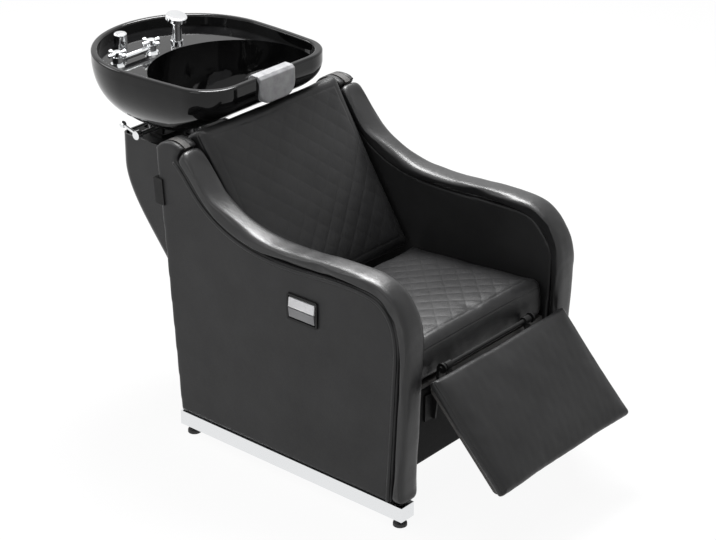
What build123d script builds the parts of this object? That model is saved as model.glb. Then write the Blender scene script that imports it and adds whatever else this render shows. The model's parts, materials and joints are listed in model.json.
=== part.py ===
from build123d import *
import os
from math import cos, radians, sin, tan

# Salon shampoo chair with a tilting basin on a floor pedestal, and a powered footrest.
# Millimetres. X runs across the chair, the sitter faces -Y, Z is up. The origin is on the
# floor, at the middle of the pedestal's four anchor holes.

# Driving dimensions
chair_width = 680
panel_depth = 762
panel_height = 765
foot_height = 25
rail_height = 40
arm_width = 70
bowl_length = 573
bowl_width = 524
pedestal_width = 260
pedestal_depth = 190
pedestal_height = 690
seat_height = 432
seat_slope = 4.5
back_recline = 32
footrest_length = 322
footrest_droop = 46

# Clearances that many pieces share
overrun = 20
cover_gap = 0.4
soft_gap = 1
running_gap = 0.05

# Base frame
rail_width = 48
rail_wall = 2.5
rail_inset = 2
tube_side = 30
tube_lift = 5
tube_wall = 2
front_tube_setback = 170
rear_tube_setback = 78

# Levelling feet
foot_radius = 18
foot_pad = 9
stem_radius = 5
stem_length = 30
foot_front_setback = 24
foot_rear_setback = 26

# Arms, from the outer face inwards
face_inset = 5
outer_thickness = 18
core_thickness = 20
roll_depth = 37
roll_round = 25
front_slant = 4
welt_gap = 7
welt_width = 11
welt_proud = 4.5
welt_round = 4
panel_clear = 0.3

# Switch in the outer face on the sitter's right, placed in shares of the panel
switch_shares = (0.5774, 0.5739)
bezel_length = 100
bezel_height = 72
bezel_thickness = 5
bezel_round = 6
button_length = 86
button_height = 28
button_part = 2.4
button_proud = 5
button_slant = 3
button_travel = 2.5
button_stem = 4
button_stem_length = 16
housing_depth = 34

# Seat
seat_width = 532
back_foot_inset = 296
seat_thickness = 110
seat_crown = 7
board_thickness = 12
board_inset = 8
batten_height = 22
batten_width = 30
seat_batten_shares = (0.12, 0.36)
seat_setback = 25
cleat_shares = (0.5, 0.92)

# Backrest: its top stands under the basin's front edge
neck_drop = 82
neck_reach = 20.945
back_thickness = 74
back_crown = 8
back_batten_shares = (0.3, 0.68)

# Cushion form: shares along the cushion, from its front or foot to its far end
corner_round = 16
belly = 3
waist = 4
end_drop_shares = (1.0, 0.28, 0.0, 0.0, 0.0, 0.28, 1.0)
station_shares = (0.0, 0.03, 0.13, 0.5, 0.87, 0.97, 1.0)
waist_shares = (0.6, 0.2, 0.0, 1.0, 0.0, 0.2, 0.6)
end_drop = 15

# Covers between the arms
cover_inset = 45
cover_thickness = 12
cover_lift = 5
cover_top_share = 0.83
apron_setback = 36
apron_thickness = 15
apron_bottom = 128
apron_clear = 3
apron_slot_width = 50
apron_slot_bottom = 205
panel_bite = 0.4
catch_height = 70
catch_low_share = 0.7673
catch_thickness = 5
catch_flap = 18
catch_reach = 12

# Footrest
hinge_setback = 5
hinge_height = 392
pad_start = 18
pad_thickness = 38
pad_crown = 5
pad_corner = 12
footrest_board = 12
board_offset = 6
shaft_radius = 6
knuckle_radius = 11
knuckle_length = 22
knuckle_place = 160
strap_thickness = 3
strap_length = 190
ear_thickness = 6
ear_radius = 13.5
ear_neck = 12
ear_back = 16
ear_front = 8
ear_step = 66
ear_low = 148
flange_width = 34
flange_height = 72
flange_thickness = 4
lug_reach = 90
lug_drop = 30
lug_slant = 15
lug_slot_back = 4
lug_slot_run = 40
lug_slot_half = 7.6
lug_rim = 5.5
lug_thickness = 8

# Footrest actuator
pivot_setback = 356
pivot_height = 260
crossbar_side = 40
crossbar_drop = 25
crossbar_wall = 3
eye_radius = 10
eye_width = 20
eye_neck = 16
clevis_plate = 5
pivot_pin_radius = 5
motor_start = 30
motor_length = 96
motor_width = 62
motor_height = 70
barrel_radius = 16
barrel_end = 250
barrel_bore_start = 84
rod_radius = 9
rod_start = 160
fork_length = 40
fork_gape = 27
fork_width = 26
fork_height = 20
fork_gap = 1
fork_pin_radius = 4
fork_tip = 9
fork_pin_head = 2

# Supply box and cable gland
supply_length = 130
supply_width = 64
supply_height = 45
supply_place = 150
gland_thread = 8
gland_nut = 11
gland_bore = 3.6
gland_length = 26
gland_place = 200
gland_height = 120

# Pedestal
pedestal_shift = 5
neck_low = 180
neck_top_drop = 80
neck_shift = 231
shell_wall = 5
shell_round = 25
plate_thickness = 8
plate_inset = 16
anchor_x = 180
anchor_y = 130
anchor_radius = 6
waste_hole = 30
member_thickness = 10
member_width = 60
member_place = 97
top_plate_drop = 2
door_width = 150
door_height = 125
door_low = 40
door_lap = 7
door_thickness = 3
link_width = 60
link_thickness = 5
link_reach = 28
link_bend = 2
hose_slot_width = 120
hose_slot_depth = 30
hose_slot_edge = 8

# Basin tilt
tilt_y = 240
tilt_rise = 22
tilt_pin_radius = 6
ear_round = 14
yoke_ear = 8
yoke_place = 70
yoke_base = 6
yoke_depth = 48
cradle_width = 176
cradle_depth = 66
cradle_thickness = 8
cradle_ear_place = 60
lever_start = 144
lever_hub = 12
lever_hub_length = 16
lever_arm = 56
lever_rise = 16
lever_thick = 4
lever_knob = 10

# Basin: heights below the rim, and for each the half width, the front and the rear
bowl_front_y = -125
section_drop_shares = (0.0, 0.2, 0.5, 0.78, 1.0)
section_half_shares = (1.0, 0.985, 0.9, 0.72, 0.48)
section_front_shares = (0.0, 0.02, 0.13, 0.28, 0.42)
section_rear_shares = (1.0, 0.992, 0.96, 0.9, 0.8)
body_shape_shares = (0.997, 0.535, 0.9, 0.4)
basin_shape_shares = (0.955, 0.6, 0.84, 0.42)
bowl_depth = 195
under_bowl = 53
rim_width = 18
rim_round = 6
deck_drop = 30
deck_front = 250
basin_side_margin = 40
basin_front_margin = 26
basin_depth = 177
basin_drop_shares = (0.0, 0.3, 0.6, 1.0)
basin_half_shares = (1.0, 0.965, 0.86, 0.5)
basin_front_shares = (0.0, 0.07, 0.27, 0.58)
basin_rear_shares = (1.0, 0.985, 0.96, 0.9)
drain_y = 178
drain_radius = 21
pocket_roof = 12
pocket_top_length = 408
pocket_top_depth = 76
pocket_top_y = 296
pocket_low_length = 110
pocket_low_depth = 34
pocket_low_y = 288
pocket_reach = 58
notch_width = 140
notch_depth = 12
rest_width = 132
rest_thickness = 9
rest_drop = 74
rest_lean = 20
rest_crown = 3
rest_corner = 34

# Waste
strainer_radius = 30
strainer_thickness = 3
strainer_holes = 8
strainer_hole_radius = 3
strainer_ring = 12
pipe_radius = 19
pipe_wall = 2
pipe_drop = 62
cuff_radius = 29
cuff_wall = 4
cuff_height = 34
cuff_overlap = 8
hose_radius = 22
hose_wall = 3

# Taps
valve_y = 276
hot_x = -178
cold_x = -54
valve_flange = 21
valve_flange_height = 6
valve_body = 14
valve_body_height = 18
mixer_radius = 8
hole_reach = 30
shank_radius = 10
shank_gap = 1
shank_drop = 24
elbow_radius = 7
nut_radius = 16
nut_height = 8
knob_radius = 11
knob_height = 16
arm_reach = 25
arm_radius = 5
arm_tip = 6.5
breaker_x = -77
breaker_y = 370
breaker_radius = 18
breaker_height = 42
holder_x = 36
holder_y = 270
holder_radius = 19
holder_height = 14
holder_bore = 12.5
shower_radius = 15
shower_height = 58
shower_spigot = 12
shower_head = 29
shower_head_height = 13
shower_lean = 14
supply_radius = 6
supply_tops = (-80, -54)
supply_nears = (-47, -29)
supply_fars = (-76, -54)
supply_nut = 10
supply_nut_height = 20

# Routes of the hoses, as Y and Z, chosen by hand for a pedestal of this height
run_height = 690
waste_run = (
    (178, 655), (178, 585), (153, 495), (104, 395),
    (50, 290), (14, 180), (0, 100), (0, 40),
)
supply_run = (
    (276, 871.6), (278, 826), (280, 771), (303, 694), (303, 628),
    (285, 558), (233, 468), (153, 378), (97, 298), (81, 228),
)

# Places that follow from the sizes above
half_chair = chair_width / 2
face_x = half_chair - face_inset
core_x = face_x - outer_thickness
lining_x = core_x - core_thickness
inner_x = half_chair - arm_width + face_inset
panel_base = foot_height + rail_height
rim_height = pedestal_height + under_bowl + bowl_depth
back_length = (rim_height - neck_drop - seat_height) / cos(radians(back_recline))
back_foot_y = bowl_front_y + neck_reach - back_length * sin(radians(back_recline))
chair_rear = back_foot_y - soft_gap + back_foot_inset
chair_front = chair_rear - panel_depth
seat_length = panel_depth - hinge_setback - seat_setback - back_foot_inset
footrest_width = seat_width
deck_z = rim_height - deck_drop
bowl_rear_y = bowl_front_y + bowl_length
tilt_z = pedestal_height + tilt_rise
neck_high = pedestal_height - neck_top_drop


def run_z(z):
    """Height on a hose's run: scaled inside the pedestal, and above it moved with the basin."""
    if z > run_height:
        return z + pedestal_height - run_height
    return z * pedestal_height / run_height


def keep(piece, name):
    """Label a finished piece and write its file."""
    piece.part.label = name
    export_step(piece.part, f"parts/{name}.step")


def box_between(low, high, mode=Mode.ADD):
    """A box from its lowest to its highest corner."""
    size = [b - a for a, b in zip(low, high)]
    middle = [(a + b) / 2 for a, b in zip(low, high)]
    with Locations(tuple(middle)):
        Box(*size, mode=mode)


def side_x(side, inner_face, thickness):
    """Lower X of a layer whose inner face stands at a distance from the middle."""
    return inner_face if side > 0 else -inner_face - thickness


def rod_along_x(radius, start, end, y, z, mode=Mode.ADD):
    """A round bar parallel to X."""
    with BuildSketch(Plane.YZ.offset(start)) as ring:
        with Locations((y, z)):
            Circle(radius)
    extrude(ring.sketch, amount=end - start, mode=mode)


# Arms: the side contour in shares of the panel's depth and height, rear top to front
contour_shares = (
    (0.043, 0.985), (0.16, 0.868), (0.307, 0.789), (0.531, 0.766),
    (0.805, 0.779), (0.932, 0.750), (1.005, 0.665), (1.026, 0.50),
)
start_run_shares = (0.07, -0.045)
rear_top_share = (-0.076, 0.965)
rear_crown_share = (-0.018, 1.0)


def side_point(share):
    depth_share, height_share = share
    return (chair_rear - depth_share * panel_depth, panel_base + height_share * panel_height)


def inset_contour(distance):
    """The arm's contour moved inwards by a distance, with the foot of its front edge."""
    points = [side_point(share) for share in contour_shares]
    foot = side_point((1.0, 0.0))
    chain = points + [foot]
    moved = []
    for i, (y, z) in enumerate(chain):
        before = chain[max(i - 1, 0)]
        after = chain[min(i + 1, len(chain) - 1)]
        if i == 0:
            run = (-start_run_shares[0] * panel_depth, start_run_shares[1] * panel_height)
        elif i >= len(points) - 1:
            run = (foot[0] - points[-1][0], foot[1] - points[-1][1])
        else:
            run = (after[0] - before[0], after[1] - before[1])
        size = (run[0] ** 2 + run[1] ** 2) ** 0.5
        moved.append((y - run[1] / size * distance, z + run[0] / size * distance))
    slant = (foot[0] - points[-1][0]) / (foot[1] - points[-1][1])
    foot_y = moved[-1][0] + (panel_base - moved[-1][1]) * slant
    return moved[:-1], (foot_y, panel_base)


def contour_spline(points):
    """A smooth line through the contour, straight on into the front edge."""
    start_run = (-start_run_shares[0] * panel_depth, start_run_shares[1] * panel_height)
    foot = side_point((1.0, 0.0))
    last = side_point(contour_shares[-1])
    end_run = (foot[0] - last[0], foot[1] - last[1])
    return Spline(*points, tangents=[start_run, end_run])


def strip_between(outer_inset, inner_inset, x_low, thickness):
    """A strip that follows the arm's contour between two insets."""
    outer, outer_foot = inset_contour(outer_inset)
    inner, inner_foot = inset_contour(inner_inset)
    with BuildSketch(Plane.YZ.offset(x_low)) as profile:
        with BuildLine():
            contour_spline(outer)
            Line(outer[-1], outer_foot)
            Line(outer_foot, inner_foot)
            Line(inner_foot, inner[-1])
            contour_spline(inner)
            Line(inner[0], outer[0])
        make_face()
    extrude(profile.sketch, amount=thickness)


def panel_slab(x_low, thickness):
    """One layer of an arm: the side profile inside the padded roll."""
    inner, inner_foot = inset_contour(roll_depth + panel_clear)
    top = side_point(contour_shares[0])
    with BuildSketch(Plane.YZ.offset(x_low)) as profile:
        with BuildLine():
            Line(side_point((0.0, 0.0)), side_point(rear_top_share))
            ThreePointArc(side_point(rear_top_share), side_point(rear_crown_share), top)
            Line(top, inner[0])
            contour_spline(inner)
            Line(inner[-1], inner_foot)
            Line(inner_foot, side_point((0.0, 0.0)))
        make_face()
    extrude(profile.sketch, amount=thickness)


switch_y, switch_z = side_point(switch_shares)


def switch_window(x_low, thickness, length, height):
    box_between(
        (x_low, switch_y - length / 2, switch_z - height / 2),
        (x_low + thickness, switch_y + length / 2, switch_z + height / 2),
        Mode.SUBTRACT,
    )


def outer_panel(side):
    with BuildPart() as panel:
        x_low = side_x(side, core_x, outer_thickness)
        panel_slab(x_low, outer_thickness)
        if side < 0:
            switch_window(x_low, outer_thickness, button_length, 2 * button_height)
    return panel


with BuildPart() as arm_cores:
    for side in (-1, 1):
        panel_slab(side_x(side, lining_x, core_thickness), core_thickness)
    switch_window(-core_x, core_thickness, button_length, 2 * button_height)

with BuildPart() as inner_panels:
    for side in (-1, 1):
        panel_slab(side_x(side, inner_x, lining_x - inner_x), lining_x - inner_x)


def arm_roll(side):
    with BuildPart() as roll:
        strip_between(0, roll_depth, side_x(side, half_chair - arm_width, arm_width), arm_width)
        outer_length = max(edge.length for edge in roll.edges())
        long_edges = roll.edges().filter_by(lambda edge: edge.length > outer_length / 2)
        crest = long_edges.sort_by(lambda edge: edge.length)[-2:]
        front = roll.faces().filter_by(Plane.XZ, tolerance=front_slant).sort_by(Axis.Y)[0]
        front_sides = front.edges().filter_by(lambda edge: abs(edge.tangent_at(0.5).Z) > 0.5)
        fillet(crest + front_sides, roll_round)
    return roll


with BuildPart() as arm_welts:
    for side in (-1, 1):
        strip_between(
            roll_depth + welt_gap, roll_depth + welt_gap + welt_width,
            side_x(side, face_x, welt_proud), welt_proud,
        )
    rims = arm_welts.faces().sort_by(Axis.X)
    for face in (rims[0], rims[-1]):
        long_rims = face.edges().sort_by(lambda edge: edge.length)[-4:]
        fillet(long_rims, welt_round)

# Chromed base rails with closed ends, the cross tubes and the levelling feet
rail_outer = half_chair - rail_inset
foot_ys = (chair_front + foot_front_setback, chair_rear - foot_rear_setback)

with BuildPart() as base_rails:
    for side in (-1, 1):
        x_low = side_x(side, rail_outer - rail_width, rail_width)
        box_between((x_low, chair_front, foot_height), (x_low + rail_width, chair_rear, panel_base))
        box_between(
            (x_low + rail_wall, chair_front + rail_wall, foot_height + rail_wall),
            (x_low + rail_width - rail_wall, chair_rear - rail_wall, panel_base - rail_wall),
            Mode.SUBTRACT,
        )
    for side in (-1, 1):
        for foot_y in foot_ys:
            with Locations((side * (rail_outer - rail_width / 2), foot_y, foot_height)):
                Cylinder(stem_radius + running_gap, 2 * rail_wall + running_gap, mode=Mode.SUBTRACT)

rail_inner = rail_outer - rail_width
tube_low = foot_height + tube_lift
front_tube_y = chair_front + front_tube_setback
rear_tube_y = chair_rear - rear_tube_setback

with BuildPart() as cross_tubes:
    for middle_y in (front_tube_y, rear_tube_y):
        with BuildSketch(Plane.YZ.offset(-rail_inner)):
            with Locations((middle_y, tube_low + tube_side / 2)):
                Rectangle(tube_side, tube_side)
                Rectangle(tube_side - 2 * tube_wall, tube_side - 2 * tube_wall, mode=Mode.SUBTRACT)
        extrude(amount=2 * rail_inner)


def levelling_foot(side, foot_y):
    with BuildPart() as foot:
        with BuildSketch():
            with Locations((side * (rail_outer - rail_width / 2), foot_y)):
                Circle(foot_radius)
        extrude(amount=foot_pad)
        fillet(foot.edges().sort_by(Axis.Z)[-1], foot_pad / 3)
        with BuildSketch(Plane.XY.offset(foot_pad)):
            with Locations((side * (rail_outer - rail_width / 2), foot_y)):
                Circle(stem_radius)
        extrude(amount=stem_length)
    return foot


# Cushions are lofted through sections that swell to a crown and draw in at the waist
def cushion_body(plane, width, length, thickness, crown, corner):
    last = len(station_shares) - 1
    sections = []
    for i, station in enumerate(station_shares):
        drop = end_drop * end_drop_shares[i]
        half = width / 2 - waist * waist_shares[i]
        height = thickness - drop
        swell = crown * (1 - abs(2 * i / last - 1) ** 2) + belly
        along = plane.from_local_coords((0, station * length, 0))
        section_plane = Plane(origin=along, x_dir=plane.x_dir, z_dir=-plane.y_dir)
        shoulder = corner * (1 - cos(radians(45)))
        with BuildSketch(section_plane) as section:
            with BuildLine():
                Line((-half + belly, 0), (half - belly, 0))
                ThreePointArc(
                    (half - belly, 0), (half, (height - corner) / 2), (half - belly, height - corner)
                )
                ThreePointArc(
                    (half - belly, height - corner),
                    (half - belly - shoulder, height - shoulder),
                    (half - belly - corner, height),
                )
                ThreePointArc(
                    (half - belly - corner, height), (0, height + swell), (-half + belly + corner, height)
                )
                ThreePointArc(
                    (-half + belly + corner, height),
                    (-half + belly + shoulder, height - shoulder),
                    (-half + belly, height - corner),
                )
                ThreePointArc(
                    (-half + belly, height - corner), (-half, (height - corner) / 2), (-half + belly, 0)
                )
            make_face()
        sections.append(section.sketch)
    loft(sections)


seat_rear_y = chair_front + hinge_setback + seat_length + seat_setback
seat_plane = Plane(
    origin=(0, seat_rear_y, seat_height),
    x_dir=(1, 0, 0),
    z_dir=(0, sin(radians(seat_slope)), cos(radians(seat_slope))),
)


def seat_level(forward, below):
    """A plane parallel to the seat's top, at a run forward of its rear edge and a depth."""
    spot = seat_plane.from_local_coords((0, -forward, -below))
    return Plane(origin=spot, x_dir=seat_plane.x_dir, z_dir=seat_plane.z_dir)


with BuildPart() as seat_cushion:
    seat_bed = seat_level(seat_length, seat_thickness)
    cushion_body(seat_bed, seat_width, seat_length, seat_thickness - seat_crown, seat_crown, corner_round)

with BuildPart() as seat_board:
    with BuildSketch(seat_level(seat_length / 2, seat_thickness + soft_gap / 2)):
        Rectangle(2 * (inner_x - board_inset), seat_length - 2 * board_inset)
    extrude(amount=-board_thickness)

back_dir = (0, sin(radians(back_recline)), cos(radians(back_recline)))
back_out = (0, -cos(radians(back_recline)), sin(radians(back_recline)))
back_foot = (0, back_foot_y, seat_height)


def back_level(up, behind):
    """A plane parallel to the backrest's face, at a run up it and a depth behind it."""
    spot = Vector(*back_foot) + Vector(*back_dir) * up - Vector(*back_out) * behind
    return Plane(origin=spot, x_dir=(1, 0, 0), z_dir=back_out)


with BuildPart() as back_cushion:
    back_bed = back_level(0, back_thickness)
    cushion_body(back_bed, seat_width, back_length, back_thickness - back_crown, back_crown, corner_round)

with BuildPart() as back_board:
    with BuildSketch(back_level(back_length / 2, back_thickness + soft_gap / 2)):
        Rectangle(2 * (inner_x - board_inset), back_length - 4 * board_inset)
    extrude(amount=-board_thickness)

with BuildPart() as battens:
    batten_span = 2 * (inner_x - cover_gap)
    for share in seat_batten_shares:
        with BuildSketch(seat_level(share * seat_length, seat_thickness + soft_gap / 2 + board_thickness)):
            Rectangle(batten_span, batten_width)
        extrude(amount=-batten_height)
    cleat_length = (cleat_shares[1] - cleat_shares[0]) * seat_length
    cleat_middle = (cleat_shares[0] + cleat_shares[1]) / 2 * seat_length
    for side in (-1, 1):
        with BuildSketch(seat_level(cleat_middle, seat_thickness + soft_gap / 2 + board_thickness)):
            with Locations((side * (batten_span - batten_width) / 2, 0)):
                Rectangle(batten_width, cleat_length)
        extrude(amount=-batten_height)
    for share in back_batten_shares:
        with BuildSketch(back_level(share * back_length, back_thickness + soft_gap / 2 + board_thickness)):
            Rectangle(batten_span, batten_width)
        extrude(amount=-batten_height)


def rear_edge_y(z, inset):
    """Y of a line parallel to the panels' slanting rear edge, inset from it."""
    low = side_point((0.0, 0.0))
    high = side_point(rear_top_share)
    return low[0] + (z - low[1]) * (high[0] - low[0]) / (high[1] - low[1]) - inset


with BuildPart() as rear_cover:
    cover_low = panel_base + cover_lift
    cover_top = panel_base + cover_top_share * panel_height
    with BuildSketch(Plane.YZ.offset(cover_gap - inner_x)):
        Polygon(
            (rear_edge_y(cover_low, cover_inset), cover_low),
            (rear_edge_y(cover_top, cover_inset), cover_top),
            (rear_edge_y(cover_top, cover_inset + cover_thickness), cover_top),
            (rear_edge_y(cover_low, cover_inset + cover_thickness), cover_low),
            align=None,
        )
    extrude(amount=2 * (inner_x - cover_gap))
    hole_y = rear_edge_y(gland_height, cover_inset + cover_thickness / 2)
    with Locations(Location((gland_place, hole_y, gland_height), (90, 0, 0))):
        Cylinder(gland_thread + running_gap, 4 * cover_thickness, mode=Mode.SUBTRACT)

apron_y = chair_front + apron_setback

with BuildPart() as front_apron:
    half_apron = inner_x - cover_gap
    apron_top = seat_level(seat_length, seat_thickness + board_thickness).origin.Z - apron_clear
    box_between((-half_apron, apron_y, apron_bottom), (half_apron, apron_y + apron_thickness, apron_top))
    box_between(
        (-apron_slot_width / 2, apron_y, apron_slot_bottom),
        (apron_slot_width / 2, apron_y + apron_thickness, apron_top),
        Mode.SUBTRACT,
    )


def edge_strip(x_low, thickness, front_inset, rear_inset):
    """A bar along the panels' rear edge, between two insets from it."""
    catch_low = panel_base + catch_low_share * panel_height
    catch_top = catch_low + catch_height
    with BuildSketch(Plane.YZ.offset(x_low)) as profile:
        Polygon(
            (rear_edge_y(catch_low, front_inset), catch_low),
            (rear_edge_y(catch_low, rear_inset), catch_low),
            (rear_edge_y(catch_top, rear_inset), catch_top),
            (rear_edge_y(catch_top, front_inset), catch_top),
            align=None,
        )
    extrude(profile.sketch, amount=thickness)


with BuildPart() as panel_catches:
    for side in (-1, 1):
        hook_width = outer_thickness + catch_thickness
        edge_strip(side_x(side, core_x + panel_bite, hook_width), hook_width, -panel_bite, -catch_reach)
        flap_low = side_x(side, face_x + panel_bite, catch_thickness)
        edge_strip(flap_low, catch_thickness, catch_flap, -catch_reach)

# Footrest, drawn in its own frame: runs away from the hinge, out of the pad's face
hinge_y = chair_front + hinge_setback
droop = radians(footrest_droop)
pad_run = (0, -cos(droop), -sin(droop))
pad_out = (0, -sin(droop), cos(droop))


def pad_level(run, out):
    """A plane parallel to the footrest's face, at a run from the hinge and a height."""
    spot = Vector(0, hinge_y, hinge_height) + Vector(*pad_run) * run + Vector(*pad_out) * out
    return Plane(origin=spot, x_dir=(1, 0, 0), z_dir=pad_out)


def pad_point(run, out):
    """Y and Z of a point given in the footrest's own frame."""
    return (
        hinge_y + pad_run[1] * run + pad_out[1] * out,
        hinge_height + pad_run[2] * run + pad_out[2] * out,
    )


pad_end = pad_start + footrest_length

with BuildPart() as footrest_pad:
    pad_bed = pad_level(pad_end, board_offset + soft_gap / 2)
    cushion_body(pad_bed, footrest_width, footrest_length, pad_thickness - pad_crown, pad_crown, pad_corner)

with BuildPart() as footrest_board_part:
    with BuildSketch(pad_level((pad_start + pad_end) / 2, board_offset)):
        RectangleRounded(footrest_width - 4 * board_inset, footrest_length - 2 * board_inset, 2 * board_inset)
    extrude(amount=-footrest_board)

board_back = board_offset - footrest_board

with BuildPart() as footrest_straps:
    for side in (-1, 1):
        x_low = side * knuckle_place - knuckle_length / 2
        with BuildSketch(Plane.YZ.offset(x_low)):
            Polygon(
                pad_point(0, board_back - strap_thickness),
                pad_point(strap_length, board_back - strap_thickness),
                pad_point(strap_length, board_back),
                pad_point(0, board_back),
                align=None,
            )
            with Locations((hinge_y, hinge_height)):
                Circle(knuckle_radius)
                Circle(shaft_radius + running_gap, mode=Mode.SUBTRACT)
        extrude(amount=knuckle_length)

ear_x = knuckle_place + knuckle_length / 2 + ear_thickness

with BuildPart() as footrest_brackets:
    for side in (-1, 1):
        x_low = side_x(side, ear_x, ear_thickness)
        neck_back = apron_y - cover_gap
        step_z = hinge_height - ear_step
        with BuildSketch(Plane.YZ.offset(x_low)):
            Polygon(
                (neck_back, hinge_height - ear_low),
                (neck_back, step_z),
                (hinge_y + ear_back, step_z + ear_back),
                (hinge_y + ear_back, hinge_height),
                (hinge_y, hinge_height + ear_radius),
                (hinge_y, hinge_height),
                (hinge_y + ear_front, hinge_height - ear_front),
                (hinge_y + ear_front, step_z + ear_front),
                (neck_back - ear_neck, hinge_height - ear_low),
                align=None,
            )
            with Locations((hinge_y, hinge_height)):
                Circle(ear_radius)
                Circle(shaft_radius + running_gap, mode=Mode.SUBTRACT)
        extrude(amount=ear_thickness)
        flange_low = side_x(side, ear_x, flange_width)
        box_between(
            (flange_low, neck_back - flange_thickness, hinge_height - ear_low),
            (flange_low + flange_width, neck_back, hinge_height - ear_low + flange_height),
        )

with BuildPart() as footrest_shaft:
    shaft_end = ear_x + 2 * ear_thickness
    rod_along_x(shaft_radius, -shaft_end, shaft_end, hinge_y, hinge_height)

slant = radians(lug_slant)


def slot_point(along):
    """A point on the lug's slot, in the footrest's frame."""
    return (lug_reach + along * cos(slant), -lug_drop + along * sin(slant))


with BuildPart() as footrest_lug:
    first = slot_point(-lug_slot_back)
    second = slot_point(lug_slot_run)
    plate_radius = lug_slot_half + lug_rim
    with BuildSketch(Plane.YZ.offset(-lug_thickness / 2)):
        Polygon(
            pad_point(first[0] - plate_radius, board_back),
            pad_point(second[0] + plate_radius, board_back),
            pad_point(second[0] + plate_radius, second[1]),
            pad_point(first[0] - plate_radius, first[1]),
            align=None,
        )
        for run, out in (first, second):
            with Locations(pad_point(run, out)):
                Circle(plate_radius)
        with Locations(pad_point(*slot_point((lug_slot_run - lug_slot_back) / 2))):
            SlotCenterToCenter(
                lug_slot_run + lug_slot_back, 2 * lug_slot_half,
                rotation=footrest_droop - lug_slant, mode=Mode.SUBTRACT,
            )
    extrude(amount=lug_thickness)

# Actuator: its line runs from the rear pivot to the pin in the footrest's lug
pivot_y = chair_front + pivot_setback
pin_y, pin_z = pad_point(lug_reach, -lug_drop)
reach_y = pin_y - pivot_y
reach_z = pin_z - pivot_height
stroke_length = (reach_y ** 2 + reach_z ** 2) ** 0.5
rod_dir = (0, reach_y / stroke_length, reach_z / stroke_length)


def rod_plane(along):
    """A plane square to the actuator's line, at a run from its rear pivot."""
    spot = Vector(0, pivot_y, pivot_height) + Vector(*rod_dir) * along
    return Plane(origin=spot, x_dir=(1, 0, 0), z_dir=rod_dir)


with BuildPart() as actuator_crossbar:
    bar_top = pivot_height - crossbar_drop
    crossbar_hollow = crossbar_side - 2 * crossbar_wall
    with BuildSketch(Plane.YZ.offset(cover_gap - inner_x)):
        with Locations((pivot_y, bar_top - crossbar_side / 2)):
            Rectangle(crossbar_side, crossbar_side)
            Rectangle(crossbar_hollow, crossbar_hollow, mode=Mode.SUBTRACT)
    extrude(amount=2 * (inner_x - cover_gap))
    for side in (-1, 1):
        with BuildSketch(Plane.YZ.offset(side_x(side, eye_width / 2 + soft_gap, clevis_plate))):
            with Locations((pivot_y, (bar_top + pivot_height) / 2)):
                Rectangle(2 * eye_radius, pivot_height - bar_top)
            with Locations((pivot_y, pivot_height)):
                Circle(eye_radius)
                Circle(pivot_pin_radius + running_gap, mode=Mode.SUBTRACT)
        extrude(amount=clevis_plate)

with BuildPart() as pivot_pin:
    pin_end = eye_width / 2 + 2 * clevis_plate
    rod_along_x(pivot_pin_radius, -pin_end, pin_end, pivot_y, pivot_height)

with BuildPart() as actuator_body:
    rod_along_x(eye_radius, -eye_width / 2, eye_width / 2, pivot_y, pivot_height)
    with BuildSketch(rod_plane(0)):
        Rectangle(eye_width, eye_neck)
    extrude(amount=motor_start)
    with BuildSketch(rod_plane(motor_start)):
        with Locations((0, -motor_height / 4)):
            RectangleRounded(motor_width, motor_height, eye_radius)
    extrude(amount=motor_length)
    with BuildSketch(rod_plane(motor_start)):
        Circle(barrel_radius)
    extrude(amount=barrel_end - motor_start)
    with BuildSketch(rod_plane(barrel_bore_start)):
        Circle(rod_radius + 2 * running_gap)
    extrude(amount=barrel_end - barrel_bore_start, mode=Mode.SUBTRACT)
    rod_along_x(pivot_pin_radius + running_gap, -eye_width, eye_width, pivot_y, pivot_height, Mode.SUBTRACT)

with BuildPart() as actuator_rod:
    with BuildSketch(rod_plane(rod_start)):
        Circle(rod_radius)
    extrude(amount=stroke_length - fork_length - rod_start)

with BuildPart() as rod_fork:
    with BuildSketch(rod_plane(stroke_length - fork_length)):
        RectangleRounded(fork_width, fork_height, fork_height / 6)
    extrude(amount=fork_length + fork_tip)
    with BuildSketch(rod_plane(stroke_length - fork_gape)):
        Rectangle(lug_thickness + 2 * fork_gap, 2 * fork_height)
    extrude(amount=2 * fork_gape, mode=Mode.SUBTRACT)
    pin_reach = fork_width / 2 + fork_pin_head
    rod_along_x(fork_pin_radius, -pin_reach, pin_reach, pin_y, pin_z)

# Supply box on the rear cross tube, and the cable gland in the rear cover
with BuildPart() as supply_box:
    supply_low = tube_low + tube_side
    box_between(
        (supply_place - supply_length / 2, rear_tube_y - supply_width / 2, supply_low),
        (supply_place + supply_length / 2, rear_tube_y + supply_width / 4, supply_low + supply_height),
    )
    fillet(supply_box.edges().filter_by(Axis.Z), supply_height / 9)

with BuildPart() as cable_gland:
    gland_y = rear_edge_y(gland_height, cover_inset)
    with Locations(Location((gland_place, gland_y - gland_length / 4, gland_height), (90, 0, 0))):
        Cylinder(gland_thread, gland_length)
    with Locations(Location((gland_place, gland_y + gland_length / 8 + soft_gap, gland_height), (90, 0, 0))):
        Cylinder(gland_nut, gland_length / 4)
    with Locations(Location((gland_place, gland_y, gland_height), (90, 0, 0))):
        Cylinder(gland_bore, 3 * gland_length, mode=Mode.SUBTRACT)

# Switch: a bezel, two sprung buttons and the housing behind them
with BuildPart() as switch_bezel:
    with BuildSketch(Plane.YZ.offset(-face_x)):
        with Locations((switch_y, switch_z)):
            RectangleRounded(bezel_length, bezel_height, bezel_round)
            Rectangle(
                button_length + button_part, 2 * button_height + 2 * button_part, mode=Mode.SUBTRACT
            )
    extrude(amount=-bezel_thickness)

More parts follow.
